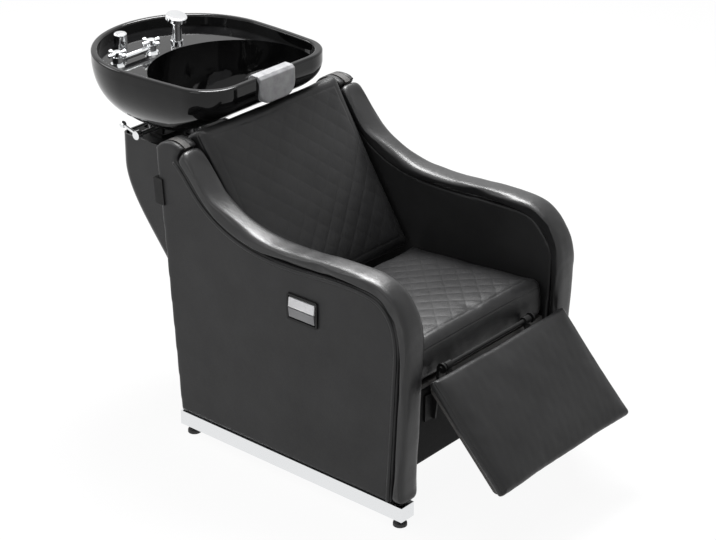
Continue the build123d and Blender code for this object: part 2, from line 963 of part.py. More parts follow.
with BuildPart() as switch_housing:
    housing_face = -face_x + 3 * button_travel / 2
    half_length = (button_length - button_part) / 2
    half_height = button_height - button_part / 2
    box_between(
        (housing_face, switch_y - half_length, switch_z - half_height),
        (housing_face + housing_depth, switch_y + half_length, switch_z + half_height),
    )
    for step in (-1, 1):
        rod_along_x(
            button_stem + running_gap, housing_face, housing_face + button_stem_length + 2 * button_travel,
            switch_y, switch_z + step * button_height / 2, Mode.SUBTRACT,
        )


def switch_button(step):
    with BuildPart() as button:
        low = switch_z if step > 0 else switch_z - button_height
        high = low + button_height
        near = -face_x - button_proud
        far = near - button_slant
        part_gap = button_part / 2
        edge_z = (low + part_gap, high - part_gap)
        tops = (far, near) if step > 0 else (near, far)
        with BuildSketch(Plane.XZ.offset(-switch_y - (button_length - button_part) / 2)):
            Polygon(
                (-face_x, edge_z[0]), (tops[0], edge_z[0]), (tops[1], edge_z[1]), (-face_x, edge_z[1]),
                align=None,
            )
        extrude(amount=button_length - button_part)
        fillet(button.faces().sort_by(Axis.X)[0].edges().filter_by(Axis.Y), button_part / 2)
        rod_along_x(
            button_stem, -face_x, housing_face + button_stem_length - soft_gap,
            switch_y, switch_z + step * button_height / 2,
        )
    return button


# Pedestal: an upright that leans back through a smooth neck
def neck_line(offset):
    """The neck's curve, from its top down, at an offset in Y from the rear face."""
    rear = pedestal_depth / 2 + pedestal_shift
    third = (neck_high - neck_low) / 3
    return [
        (rear + neck_shift + offset, neck_high),
        (rear + neck_shift + offset, neck_high - third),
        (rear + offset, neck_low + third),
        (rear + offset, neck_low),
    ]


def neck_slab(rear_offset, front_offset, low, high, x_low, width):
    """The pedestal's side profile between two offsets, as a slab."""
    rear = neck_line(rear_offset)
    front = neck_line(front_offset)
    with BuildSketch(Plane.YZ.offset(x_low)) as profile:
        with BuildLine():
            Line((rear[0][0], high), rear[0])
            Bezier(*rear)
            Line(rear[3], (rear[3][0], low))
            Line((rear[3][0], low), (front[3][0], low))
            Line((front[3][0], low), front[3])
            Bezier(*front[::-1])
            Line(front[0], (front[0][0], high))
            Line((front[0][0], high), (rear[0][0], high))
        make_face()
    extrude(profile.sketch, amount=width)


def upright_edges(builder):
    """The long edges that run up a pedestal slab."""
    return builder.edges().filter_by(lambda edge: abs(edge.tangent_at(0.5).X) < 0.5).filter_by(
        lambda edge: abs(edge.tangent_at(0.5).Z) > 0.5
    )


with BuildPart() as shell_core:
    half_inner = pedestal_width / 2 - shell_wall
    neck_slab(
        -shell_wall, shell_wall - pedestal_depth, -overrun, pedestal_height + overrun,
        -half_inner, 2 * half_inner,
    )
    fillet(upright_edges(shell_core), shell_round - shell_wall)

pedestal_rear = pedestal_depth / 2 + pedestal_shift
pedestal_front = pedestal_rear - pedestal_depth

with BuildPart() as pedestal_shell:
    neck_slab(0, -pedestal_depth, 0, pedestal_height, -pedestal_width / 2, pedestal_width)
    fillet(upright_edges(pedestal_shell), shell_round)
    add(shell_core.part, mode=Mode.SUBTRACT)
    box_between(
        (-door_width / 2, pedestal_rear - overrun, door_low),
        (door_width / 2, pedestal_rear + overrun, door_low + door_height),
        Mode.SUBTRACT,
    )
    notch_half = link_width / 2 + soft_gap
    box_between(
        (-notch_half, pedestal_front - overrun, 0),
        (notch_half, pedestal_front + overrun, plate_thickness + 2 * link_thickness),
        Mode.SUBTRACT,
    )

with BuildPart() as access_door:
    with BuildSketch(Plane.XZ.offset(-pedestal_rear)):
        with Locations((0, door_low + door_height / 2)):
            RectangleRounded(door_width + 2 * door_lap, door_height + 2 * door_lap, door_lap)
    extrude(amount=-door_thickness)

plate_middle_y = (pedestal_rear + pedestal_front) / 2

with BuildPart() as base_plate:
    with BuildSketch():
        with Locations((0, plate_middle_y)):
            RectangleRounded(pedestal_width - 2 * plate_inset, pedestal_depth - plate_inset, plate_inset)
        with GridLocations(anchor_x, anchor_y, 2, 2):
            Circle(anchor_radius, mode=Mode.SUBTRACT)
        Circle(waste_hole, mode=Mode.SUBTRACT)
    extrude(amount=plate_thickness)

top_low = pedestal_height - top_plate_drop - plate_thickness
member_offset = -(pedestal_depth - member_width) / 2

with BuildPart() as frame_members:
    for side in (-1, 1):
        x_low = side_x(side, member_place - member_thickness / 2, member_thickness)
        neck_slab(
            member_offset, member_offset - member_width, plate_thickness, top_low, x_low, member_thickness,
        )

top_rear = pedestal_rear + neck_shift
top_middle = top_rear - pedestal_depth / 2
hose_y = top_rear - shell_wall - hose_slot_edge - hose_slot_depth / 2
yoke_low = top_low + plate_thickness
bowl_low = rim_height - bowl_depth
cuff_top = bowl_low - pipe_drop + cuff_overlap
cuff_low = cuff_top - cuff_height
cuff_at_plate = hose_radius + (cuff_radius - hose_radius) * (yoke_low - cuff_low) / cuff_height

with BuildPart() as top_plate:
    with BuildSketch(Plane.XY.offset(top_low)):
        with Locations((0, top_middle)):
            RectangleRounded(pedestal_width - plate_inset, pedestal_depth - plate_inset, 2 * plate_inset)
        with Locations((0, drain_y)):
            Circle(cuff_at_plate + cover_gap, mode=Mode.SUBTRACT)
        with Locations((0, hose_y)):
            RectangleRounded(hose_slot_width, hose_slot_depth, hose_slot_depth / 3, mode=Mode.SUBTRACT)
    extrude(amount=plate_thickness)

with BuildPart() as link_plate:
    link_front = rear_tube_y - tube_side / 2
    link_level = tube_low - link_thickness
    with BuildSketch(Plane.YZ.offset(-link_width / 2)):
        Polygon(
            (link_front, link_level),
            (rear_tube_y + tube_side, link_level),
            (pedestal_front - link_reach, plate_thickness),
            (pedestal_front + link_reach, plate_thickness),
            (pedestal_front + link_reach, plate_thickness + link_thickness),
            (pedestal_front - link_reach + link_bend, plate_thickness + link_thickness),
            (rear_tube_y + tube_side + link_bend, tube_low),
            (link_front, tube_low),
            align=None,
        )
    extrude(amount=link_width)

# Tilt: a yoke on the top plate, a pin, the cradle under the basin and its clamping lever
with BuildPart() as tilt_yoke:
    box_between(
        (-yoke_place - 2 * yoke_ear, tilt_y - yoke_depth / 2, yoke_low),
        (yoke_place + 2 * yoke_ear, tilt_y + yoke_depth / 2, yoke_low + yoke_base),
    )
    for side in (-1, 1):
        with BuildSketch(Plane.YZ.offset(side_x(side, yoke_place - yoke_ear / 2, yoke_ear))):
            with Locations((tilt_y, (yoke_low + tilt_z) / 2)):
                Rectangle(2 * ear_round, tilt_z - yoke_low)
            with Locations((tilt_y, tilt_z)):
                Circle(ear_round)
                Circle(tilt_pin_radius + running_gap, mode=Mode.SUBTRACT)
        extrude(amount=yoke_ear)

with BuildPart() as tilt_pin:
    rod_along_x(tilt_pin_radius, -lever_start, yoke_place + 2 * yoke_ear, tilt_y, tilt_z)

with BuildPart() as bowl_cradle:
    cradle_top = bowl_low - cover_gap
    box_between(
        (-cradle_width / 2, tilt_y - cradle_depth / 2, cradle_top - cradle_thickness),
        (cradle_width / 2, tilt_y + cradle_depth / 2, cradle_top),
    )
    for side in (-1, 1):
        with BuildSketch(Plane.YZ.offset(side_x(side, cradle_ear_place - yoke_ear / 2, yoke_ear))):
            with Locations((tilt_y, (cradle_top + tilt_z) / 2 - cradle_thickness / 4)):
                Rectangle(2 * ear_round, cradle_top - tilt_z - cradle_thickness / 2)
            with Locations((tilt_y, tilt_z)):
                Circle(ear_round)
                Circle(tilt_pin_radius + running_gap, mode=Mode.SUBTRACT)
        extrude(amount=yoke_ear)

with BuildPart() as tilt_lever:
    lever_x = -lever_start - running_gap
    rod_along_x(lever_hub, lever_x - lever_hub_length, lever_x, tilt_y, tilt_z)
    grip_start = Vector(lever_x - lever_hub_length / 2, tilt_y, tilt_z)
    grip_end = grip_start + Vector(0, lever_arm, lever_rise)
    with BuildSketch(Plane(origin=grip_start, z_dir=grip_end - grip_start)):
        Circle(lever_thick)
    extrude(amount=(grip_end - grip_start).length)
    with Locations(grip_end):
        Sphere(lever_knob)


# Basin
def outline_sketch(height, half, front, rear, shape_shares):
    """A plan outline at a height: straight front, round corners, curved sides and rear."""
    flank_share, flank_place_share, corner_share, corner_round_share = shape_shares
    flank_x = flank_share * half
    flank_y = front + flank_place_share * (rear - front)
    corner_x = corner_share * half
    with BuildSketch(Plane.XY.offset(height)) as outline:
        with BuildLine():
            rear_arc = ThreePointArc((flank_x, flank_y), (0, rear), (-flank_x, flank_y))
            turn = rear_arc % 0
            Line((-corner_x, front), (corner_x, front))
            TangentArc((flank_x, flank_y), (corner_x, front), tangent=-turn)
            TangentArc((-flank_x, flank_y), (-corner_x, front), tangent=(turn.X, -turn.Y))
        make_face()
        fillet(outline.vertices().sort_by(Axis.Y)[:2], corner_round_share * min(half, (rear - front) / 2))
    return outline.sketch


basin_half = bowl_width / 2 - basin_side_margin
basin_front = bowl_front_y + basin_front_margin
recess_front = bowl_front_y + rim_width

with BuildPart() as basin_space:
    room = deck_front - basin_front
    basin_sections = [
        outline_sketch(
            deck_z + soft_gap - drop * (basin_depth - deck_drop),
            basin_half * basin_half_shares[i],
            basin_front + basin_front_shares[i] * room,
            basin_front + basin_rear_shares[i] * room,
            basin_shape_shares,
        )
        for i, drop in enumerate(basin_drop_shares)
    ]
    loft(basin_sections)

with BuildPart() as pocket_space:
    with BuildSketch(Plane.XY.offset(deck_z - pocket_roof)):
        with Locations((0, pocket_top_y)):
            Rectangle(pocket_top_length, pocket_top_depth)
    with BuildSketch(Plane.XY.offset(bowl_low - pocket_reach)):
        with Locations((0, pocket_low_y)):
            Rectangle(pocket_low_length, pocket_low_depth)
    loft()

with BuildPart() as bowl_rim:
    rim_outline = outline_sketch(deck_z, bowl_width / 2, bowl_front_y, bowl_rear_y, body_shape_shares)
    extrude(rim_outline, amount=deck_drop)
    recess_half = bowl_width / 2 - rim_width
    recess = outline_sketch(deck_z, recess_half, recess_front, bowl_rear_y - rim_width, body_shape_shares)
    extrude(recess, amount=deck_drop, mode=Mode.SUBTRACT)
    fillet(bowl_rim.faces().sort_by(Axis.Z)[-1].edges(), rim_round)

with BuildPart() as bowl:
    bowl_sections = [
        outline_sketch(
            deck_z - drop * (bowl_depth - deck_drop),
            bowl_width / 2 * section_half_shares[i],
            bowl_front_y + section_front_shares[i] * bowl_length,
            bowl_front_y + section_rear_shares[i] * bowl_length,
            body_shape_shares,
        )
        for i, drop in enumerate(section_drop_shares)
    ]
    loft(bowl_sections)
    add(bowl_rim.part)
    add(basin_space.part, mode=Mode.SUBTRACT)
    add(pocket_space.part, mode=Mode.SUBTRACT)
    box_between(
        (-notch_width / 2, bowl_front_y - overrun, rim_height - notch_depth),
        (notch_width / 2, basin_front + rim_width, rim_height + overrun),
        Mode.SUBTRACT,
    )
    with Locations((0, drain_y, bowl_low)):
        Cylinder(drain_radius, 2 * hole_reach, mode=Mode.SUBTRACT)
    for x, y, radius in (
        (hot_x, valve_y, shank_radius), (cold_x, valve_y, shank_radius),
        (breaker_x, breaker_y, shank_radius), (holder_x, holder_y, holder_bore),
    ):
        with Locations((x, y, deck_z)):
            Cylinder(radius + shank_gap, 2 * hole_reach, mode=Mode.SUBTRACT)

with BuildPart() as neck_rest:
    rest_low = rim_height - rest_drop
    rest_front = bowl_front_y - rest_thickness
    rest_rear = basin_front + rest_lean
    with BuildSketch(Plane.YZ.offset(-rest_width / 2)) as rest_profile:
        Polygon(
            (rest_front, rest_low),
            (rest_front, rim_height - rest_thickness / 2),
            (bowl_front_y, rim_height + rest_crown),
            (basin_front, rim_height + rest_crown),
            (basin_front + rest_thickness, rim_height - rest_thickness / 2),
            (rest_rear + rest_thickness, rest_low),
            align=None,
        )
        fillet(rest_profile.vertices().sort_by(Axis.Y)[2:4], rest_thickness / 2)
    extrude(amount=rest_width)
    with BuildSketch(Plane.XZ) as rest_outline:
        with Locations((0, rim_height)):
            RectangleRounded(rest_width, 2 * rest_drop, rest_corner)
    extrude(rest_outline.sketch, amount=bowl_length, both=True, mode=Mode.INTERSECT)
    add(bowl.part, mode=Mode.SUBTRACT)

# Waste: strainer, tail pipe and the hose that takes it to the floor
basin_floor = deck_z + soft_gap - (basin_depth - deck_drop)

with BuildPart() as drain_strainer:
    with BuildSketch(Plane.XY.offset(basin_floor + cover_gap)):
        with Locations((0, drain_y)):
            Circle(strainer_radius)
            with PolarLocations(strainer_ring, strainer_holes):
                Circle(strainer_hole_radius, mode=Mode.SUBTRACT)
    extrude(amount=strainer_thickness)
    fillet(drain_strainer.edges().sort_by(Axis.Z)[-1], strainer_thickness / 3)

with BuildPart() as tail_pipe:
    with BuildSketch(Plane.XY.offset(basin_floor)):
        with Locations((0, drain_y)):
            Circle(pipe_radius)
            Circle(pipe_radius - pipe_wall, mode=Mode.SUBTRACT)
    extrude(amount=-pipe_drop - (basin_floor - bowl_low))
    with BuildSketch(Plane.XY.offset(bowl_low - cover_gap)):
        with Locations((0, drain_y)):
            Circle(drain_radius + pipe_wall * 2)
            Circle(pipe_radius - pipe_wall, mode=Mode.SUBTRACT)
    extrude(amount=-cradle_thickness)


def bend_radii(route):
    """The largest arc that each corner of a route takes."""
    radii = []
    for before, corner, after in zip(route, route[1:], route[2:]):
        first = Vector(*corner) - Vector(*before)
        second = Vector(*after) - Vector(*corner)
        turn = radians(first.get_angle(second))
        radii.append(0.45 * min(first.length, second.length) / tan(turn / 2))
    return radii


waste_route = [(0, y, run_z(z)) for y, z in waste_run]
print("waste hose radii", [round(radius) for radius in bend_radii(waste_route)])

with BuildPart() as waste_hose:
    with BuildLine():
        FilletPolyline(*waste_route, radius=bend_radii(waste_route))
    with BuildSketch(Plane(origin=waste_route[0], z_dir=(0, 0, -1))):
        Circle(hose_radius)
        Circle(hose_radius - hose_wall, mode=Mode.SUBTRACT)
    sweep()
    with BuildSketch(Plane.XY.offset(cuff_low)):
        with Locations((0, drain_y)):
            Circle(hose_radius)
            Circle(hose_radius - hose_wall, mode=Mode.SUBTRACT)
    with BuildSketch(Plane.XY.offset(cuff_top)):
        with Locations((0, drain_y)):
            Circle(cuff_radius)
            Circle(cuff_radius - cuff_wall, mode=Mode.SUBTRACT)
    loft()

# Taps on the rear deck
with BuildPart() as valve_bodies:
    for x in (hot_x, cold_x):
        with BuildSketch(Plane.XY.offset(deck_z + cover_gap)):
            with Locations((x, valve_y)):
                Circle(valve_flange)
        extrude(amount=valve_flange_height, taper=20)
        with BuildSketch(Plane.XY.offset(deck_z)):
            with Locations((x, valve_y)):
                Circle(valve_body)
        extrude(amount=valve_body_height + valve_flange_height)
        with BuildSketch(Plane.XY.offset(deck_z)):
            with Locations((x, valve_y)):
                Circle(shank_radius)
        extrude(amount=-pocket_roof - shank_drop)
        with BuildSketch(Plane.XY.offset(deck_z - pocket_roof - cover_gap)):
            with Locations((x, valve_y)):
                RegularPolygon(nut_radius, 6)
        extrude(amount=-nut_height)
    mixer_z = deck_z + valve_flange_height + valve_body_height / 2
    rod_along_x(mixer_radius, hot_x, cold_x, valve_y, mixer_z)
    elbow_z = deck_z - pocket_roof - shank_drop + elbow_radius
    rod_along_x(elbow_radius, hot_x, supply_tops[0] + elbow_radius, valve_y, elbow_z)


def cross_knob(x):
    with BuildPart() as knob:
        low = deck_z + valve_flange_height + valve_body_height + cover_gap
        with BuildSketch(Plane.XY.offset(low)):
            with Locations((x, valve_y)):
                Circle(knob_radius)
        extrude(amount=knob_height)
        fillet(knob.edges().sort_by(Axis.Z)[-1], knob_radius / 4)
        middle = low + knob_height / 2
        for turn in range(0, 360, 90):
            out = (cos(radians(turn)), sin(radians(turn)), 0)
            with BuildSketch(Plane(origin=(x, valve_y, middle), z_dir=out)):
                Circle(arm_radius)
            extrude(amount=arm_reach)
            with Locations((x + out[0] * arm_reach, valve_y + out[1] * arm_reach, middle)):
                Sphere(arm_tip)
    return knob


with BuildPart() as vacuum_breaker:
    with BuildSketch(Plane.XY.offset(deck_z + cover_gap)):
        with Locations((breaker_x, breaker_y)):
            Circle(breaker_radius)
    extrude(amount=breaker_height)
    fillet(vacuum_breaker.edges().sort_by(Axis.Z)[-1], breaker_radius / 3)
    with BuildSketch(Plane.XY.offset(deck_z + cover_gap)):
        with Locations((breaker_x, breaker_y)):
            Circle(shank_radius)
    extrude(amount=-pocket_roof - shank_radius)

with BuildPart() as sprayer_holder:
    with BuildSketch(Plane.XY.offset(deck_z + cover_gap)):
        with Locations((holder_x, holder_y)):
            Circle(holder_radius)
    extrude(amount=holder_height, taper=8)
    with BuildSketch(Plane.XY.offset(deck_z + cover_gap)):
        with Locations((holder_x, holder_y)):
            Circle(holder_bore)
    extrude(amount=-pocket_roof - shank_radius)
    with BuildSketch(Plane.XY.offset(deck_z + holder_height + overrun)):
        with Locations((holder_x, holder_y)):
            Circle(holder_bore - pipe_wall)
    extrude(amount=-holder_height - 2 * overrun - pocket_roof - shank_radius, mode=Mode.SUBTRACT)

shower_low = deck_z + 2 * cover_gap + holder_height

with BuildPart() as hand_shower:
    with BuildSketch(Plane.XY.offset(shower_low)):
        with Locations((holder_x, holder_y)):
            Circle(shower_radius)
    extrude(amount=shower_height)
    with BuildSketch(Plane.XY.offset(shower_low)):
        with Locations((holder_x, holder_y)):
            Circle(holder_bore - pipe_wall - running_gap)
    extrude(amount=-shower_spigot)
    lean = radians(shower_lean)
    head_plane = Plane(
        origin=(holder_x, holder_y, shower_low + shower_height),
        x_dir=(1, 0, 0),
        z_dir=(0, -sin(lean), cos(lean)),
    )
    with BuildSketch(head_plane):
        Circle(shower_head)
    extrude(amount=shower_head_height)
    fillet(hand_shower.edges().sort_by(Axis.Z)[-1], shower_head_height / 3)


def supply_route(top_x, near, far):
    """A hose's points, from under its valve to the coupling that a plumber joins."""
    sides = (top_x,) * 2 + (near,) * 3 + (far,) * 5
    return [(x, y, run_z(z)) for x, (y, z) in zip(sides, supply_run)]


with BuildPart() as supply_hoses:
    for places in zip(supply_tops, supply_nears, supply_fars):
        route = supply_route(*places)
        print("supply hose radii", [round(radius) for radius in bend_radii(route)])
        with BuildLine():
            FilletPolyline(*route, radius=bend_radii(route))
        with BuildSketch(Plane(origin=route[0], z_dir=Vector(*route[1]) - Vector(*route[0]))):
            Circle(supply_radius)
        sweep()
        with BuildSketch(Plane(origin=route[-1], z_dir=(0, 0, -1))):
            RegularPolygon(supply_nut, 6)
        extrude(amount=supply_nut_height)

os.makedirs("parts", exist_ok=True)

for side, word in ((-1, "right"), (1, "left")):
    keep(outer_panel(side), f"outer_panel_{word}")
    keep(arm_roll(side), f"arm_roll_{word}")
    keep(levelling_foot(side, foot_ys[0]), f"foot_front_{word}")
    keep(levelling_foot(side, foot_ys[1]), f"foot_rear_{word}")

for piece, name in (
    (arm_cores, "arm_cores"), (inner_panels, "inner_panels"), (arm_welts, "arm_welts"),
    (base_rails, "base_rails"), (cross_tubes, "cross_tubes"), (seat_cushion, "seat_cushion"),
    (seat_board, "seat_board"), (back_cushion, "back_cushion"), (back_board, "back_board"),
    (battens, "battens"), (rear_cover, "rear_cover"), (front_apron, "front_apron"),
    (panel_catches, "panel_catches"), (footrest_pad, "footrest_pad"),
    (footrest_board_part, "footrest_board"), (footrest_straps, "footrest_straps"),
    (footrest_brackets, "footrest_brackets"), (footrest_shaft, "footrest_shaft"),
    (footrest_lug, "footrest_lug"), (actuator_crossbar, "actuator_crossbar"),
    (pivot_pin, "pivot_pin"), (actuator_body, "actuator_body"), (actuator_rod, "actuator_rod"),
    (rod_fork, "rod_fork"), (supply_box, "supply_box"), (cable_gland, "cable_gland"),
    (switch_bezel, "switch_bezel"), (switch_housing, "switch_housing"),
    (switch_button(1), "button_up"), (switch_button(-1), "button_down"),
    (pedestal_shell, "pedestal_shell"), (access_door, "access_door"),
    (base_plate, "base_plate"), (frame_members, "frame_members"), (top_plate, "top_plate"),
    (link_plate, "link_plate"), (tilt_yoke, "tilt_yoke"), (tilt_pin, "tilt_pin"),
    (bowl_cradle, "bowl_cradle"), (tilt_lever, "tilt_lever"), (bowl, "bowl"),
    (neck_rest, "neck_rest"), (drain_strainer, "drain_strainer"), (tail_pipe, "tail_pipe"),
    (waste_hose, "waste_hose"), (valve_bodies, "valve_bodies"), (cross_knob(hot_x), "hot_knob"),
    (cross_knob(cold_x), "cold_knob"), (vacuum_breaker, "vacuum_breaker"),
    (sprayer_holder, "sprayer_holder"), (hand_shower, "hand_shower"),
    (supply_hoses, "supply_hoses"),
):
    keep(piece, name)
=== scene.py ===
import json
from math import cos, pi, radians, sin, sqrt

import bpy
import numpy as np
from mathutils import Matrix, Vector


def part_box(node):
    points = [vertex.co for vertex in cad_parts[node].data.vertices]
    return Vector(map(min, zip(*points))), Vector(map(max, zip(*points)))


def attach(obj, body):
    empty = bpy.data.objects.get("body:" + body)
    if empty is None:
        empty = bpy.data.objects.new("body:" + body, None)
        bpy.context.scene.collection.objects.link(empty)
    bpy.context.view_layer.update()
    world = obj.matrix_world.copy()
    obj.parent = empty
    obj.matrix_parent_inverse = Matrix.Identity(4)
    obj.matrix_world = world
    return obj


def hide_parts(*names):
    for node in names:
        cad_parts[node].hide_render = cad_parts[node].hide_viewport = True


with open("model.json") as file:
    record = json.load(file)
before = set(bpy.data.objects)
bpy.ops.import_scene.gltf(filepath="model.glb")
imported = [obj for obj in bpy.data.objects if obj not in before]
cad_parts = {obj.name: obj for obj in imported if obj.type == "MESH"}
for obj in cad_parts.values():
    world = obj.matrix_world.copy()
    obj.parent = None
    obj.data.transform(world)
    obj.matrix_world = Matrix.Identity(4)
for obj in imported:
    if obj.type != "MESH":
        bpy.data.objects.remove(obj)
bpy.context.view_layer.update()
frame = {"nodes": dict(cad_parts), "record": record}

scene = bpy.context.scene
nodes = frame["nodes"]


# Meshes
def shade_smooth(piece):
    for polygon in piece.data.polygons:
        polygon.use_smooth = True


def new_mesh(name, points, faces):
    mesh = bpy.data.meshes.new(name)
    mesh.from_pydata([tuple(p) for p in points], [], [tuple(f) for f in faces])
    mesh.update()
    piece = bpy.data.objects.new(name, mesh)
    scene.collection.objects.link(piece)
    shade_smooth(piece)
    return piece


def coordinates(piece):
    flat = np.zeros(len(piece.data.vertices) * 3)
    piece.data.vertices.foreach_get("co", flat)
    return flat.reshape(-1, 3)


def set_coordinates(piece, points):
    piece.data.vertices.foreach_set("co", np.asarray(points, float).ravel())
    piece.data.update()


def point_normals(piece):
    return np.array([vertex.normal for vertex in piece.data.vertices])


def place(points, origin, x_dir, y_dir, z_dir):
    """Points of a local frame, in the object's frame."""
    return (np.array(origin) + points[:, [0]] * np.array(x_dir)
            + points[:, [1]] * np.array(y_dir) + points[:, [2]] * np.array(z_dir))


def settle(t):
    """From 0 to 1 with a soft start and a soft end."""
    t = np.clip(t, 0, 1)
    return t * t * (3 - 2 * t)


def falloff(t, power):
    """1 in the middle of a side and 0 at its ends, which are at -1 and 1."""
    return 1 - np.clip(np.abs(t), 0, 1) ** power


def smooth_noise(points, size, seed):
    """A few sine waves in fixed directions: a smooth, repeatable unevenness between -1 and 1."""
    waves = 7
    shortest_share, longest_share = 0.7, 1.5
    rng = np.random.default_rng(seed)
    total = np.zeros(len(points))
    for _ in range(waves):
        direction = rng.normal(size=3)
        direction /= np.linalg.norm(direction)
        length = size * rng.uniform(shortest_share, longest_share)
        total += np.sin(points @ direction * 2 * pi / length + rng.uniform(0, 2 * pi))
    return total / waves


def block_grid(width, length, height, radius, step):
    """A closed box with round edges, as a grid centred on the origin."""
    half = np.array([width, length, height]) / 2
    edge_steps = 6
    fewest_steps = 4

    def ticks(axis):
        straight = half[axis] - radius
        count = max(int(round(2 * half[axis] / step)), fewest_steps)
        inner = np.linspace(-straight, straight, count + 1)
        edge = radius * np.sin(np.linspace(0, pi / 2, edge_steps + 1))[1:]
        return np.concatenate([-straight - edge[::-1], inner, straight + edge])

    axes = [ticks(axis) for axis in range(3)]
    last = [len(axis) - 1 for axis in axes]
    index = {}
    points, faces = [], []

    def vertex(key):
        if key not in index:
            index[key] = len(points)
            points.append([axes[axis][key[axis]] for axis in range(3)])
        return index[key]

    for axis in range(3):
        u, v = (axis + 1) % 3, (axis + 2) % 3
        for side in (0, last[axis]):
            for a in range(last[u]):
                for b in range(last[v]):
                    corners = []
                    for da, db in ((0, 0), (1, 0), (1, 1), (0, 1)):
                        key = [0, 0, 0]
                        key[axis], key[u], key[v] = side, a + da, b + db
                        corners.append(vertex(tuple(key)))
                    faces.append(corners if side else corners[::-1])
    points = np.array(points)
    inner = np.clip(points, -(half - radius), half - radius)
    away = points - inner
    # Each point goes to the round edge by its direction from the inner box.
    size = np.linalg.norm(away, axis=1)
    size[size == 0] = 1
    return inner + away / size[:, None] * radius, faces


def tube_walls(rings, count, turned):
    """The quads between a tube's rings, wound one way or, where turned, the other."""
    faces = []
    for i in range(rings - 1):
        for j in range(count):
            k = (j + 1) % count
            quad = (i * count + j, i * count + k, (i + 1) * count + k, (i + 1) * count + j)
            faces.append(quad[::-1] if turned else quad)
    return faces


def tube_ends(rings, count, turned):
    """The two faces that close a tube, wound one way or, where turned, the other."""
    first = tuple(range(count))
    last = tuple(range((rings - 1) * count, rings * count))
    return [first, last[::-1]] if turned else [first[::-1], last]


def apply_modifier(piece, kind, **values):
    bpy.context.view_layer.objects.active = piece
    modifier = piece.modifiers.new(kind.lower(), kind)
    for name, value in values.items():
        setattr(modifier, name, value)
    bpy.ops.object.modifier_apply(modifier=modifier.name)


def subdivide(piece, levels):
    apply_modifier(piece, "SUBSURF", levels=levels, render_levels=levels)
    shade_smooth(piece)


def soft_copy(node, name, voxel, rounds):
    """A new piece with a CAD node's form, remeshed evenly and with its edges softened."""
    piece = bpy.data.objects.new(name, nodes[node].data.copy())
    scene.collection.objects.link(piece)
    piece.data.materials.clear()
    apply_modifier(piece, "REMESH", mode="VOXEL", voxel_size=voxel)
    apply_modifier(piece, "SMOOTH", factor=0.5, iterations=rounds)
    shade_smooth(piece)
    return piece


def inflate(piece, pressure, cap):
    """Cloth with pressure and no gravity, applied, with each point's move capped."""
    frames = 20
    least_move = 1e-9
    before = coordinates(piece)
    cloth = piece.modifiers.new("pressure", "CLOTH")
    settings = cloth.settings
    settings.use_pressure = True
    settings.uniform_pressure_force = pressure
    settings.effector_weights.gravity = 0
    settings.quality = 5
    settings.tension_stiffness = 15
    settings.compression_stiffness = 15
    settings.bending_stiffness = 2
    cloth.collision_settings.use_collision = False
    cloth.point_cache.frame_start = 1
    cloth.point_cache.frame_end = frames
    for number in range(1, frames + 1):
        scene.frame_set(number)
    move = coordinates(piece.evaluated_get(bpy.context.evaluated_depsgraph_get())) - before
    piece.modifiers.remove(cloth)
    scene.frame_set(1)
    size = np.linalg.norm(move, axis=1)
    scale = np.where(size > least_move, cap * np.tanh(size / cap) / np.maximum(size, least_move), 0)
    set_coordinates(piece, before + move * scale[:, None])


# Materials
def link(tree, output, socket):
    tree.links.new(output, socket)


def base_material(name, color, roughness, metallic=0.0, coat=0.0, coat_roughness=0.1, specular=0.5):
    material = bpy.data.materials.new(name)
    material.use_nodes = True
    tree = material.node_tree
    shader = tree.nodes["Principled BSDF"]
    shader.inputs["Base Color"].default_value = (*color, 1)
    shader.inputs["Roughness"].default_value = roughness
    shader.inputs["Metallic"].default_value = metallic
    shader.inputs["Coat Weight"].default_value = coat
    shader.inputs["Coat Roughness"].default_value = coat_roughness
    shader.inputs["Specular IOR Level"].default_value = specular
    return material, tree, shader


def object_coordinates(tree):
    return tree.nodes.new("ShaderNodeTexCoord").outputs["Object"]


def stretched(tree, where, scale):
    node = tree.nodes.new("ShaderNodeMapping")
    node.inputs["Scale"].default_value = scale
    link(tree, where, node.inputs["Vector"])
    return node.outputs["Vector"]


def noise(tree, where, scale, detail=3.0):
    node = tree.nodes.new("ShaderNodeTexNoise")
    node.inputs["Scale"].default_value = scale
    node.inputs["Detail"].default_value = detail
    node.inputs["Roughness"].default_value = 0.55
    link(tree, where, node.inputs["Vector"])
    return node.outputs["Fac"]


def map_range(tree, value, low, high):
    """A texture's middle values, stretched from low to high."""
    node = tree.nodes.new("ShaderNodeMapRange")
    node.inputs["From Min"].default_value = 0.3
    node.inputs["From Max"].default_value = 0.7
    node.inputs["To Min"].default_value = low
    node.inputs["To Max"].default_value = high
    link(tree, value, node.inputs["Value"])
    return node.outputs["Result"]


def bump(tree, height, strength, distance, before=None):
    node = tree.nodes.new("ShaderNodeBump")
    node.inputs["Strength"].default_value = strength
    node.inputs["Distance"].default_value = distance
    link(tree, height, node.inputs["Height"])
    if before is not None:
        link(tree, before, node.inputs["Normal"])
    return node.outputs["Normal"]


def mix_color(tree, value, first, second):
    """One colour at a texture's low values and the other at its high ones."""
    node = tree.nodes.new("ShaderNodeMix")
    node.data_type = "RGBA"
    node.inputs["A"].default_value = (*first, 1)
    node.inputs["B"].default_value = (*second, 1)
    link(tree, map_range(tree, value, 0.0, 1.0), node.inputs["Factor"])
    return node.outputs["Result"]


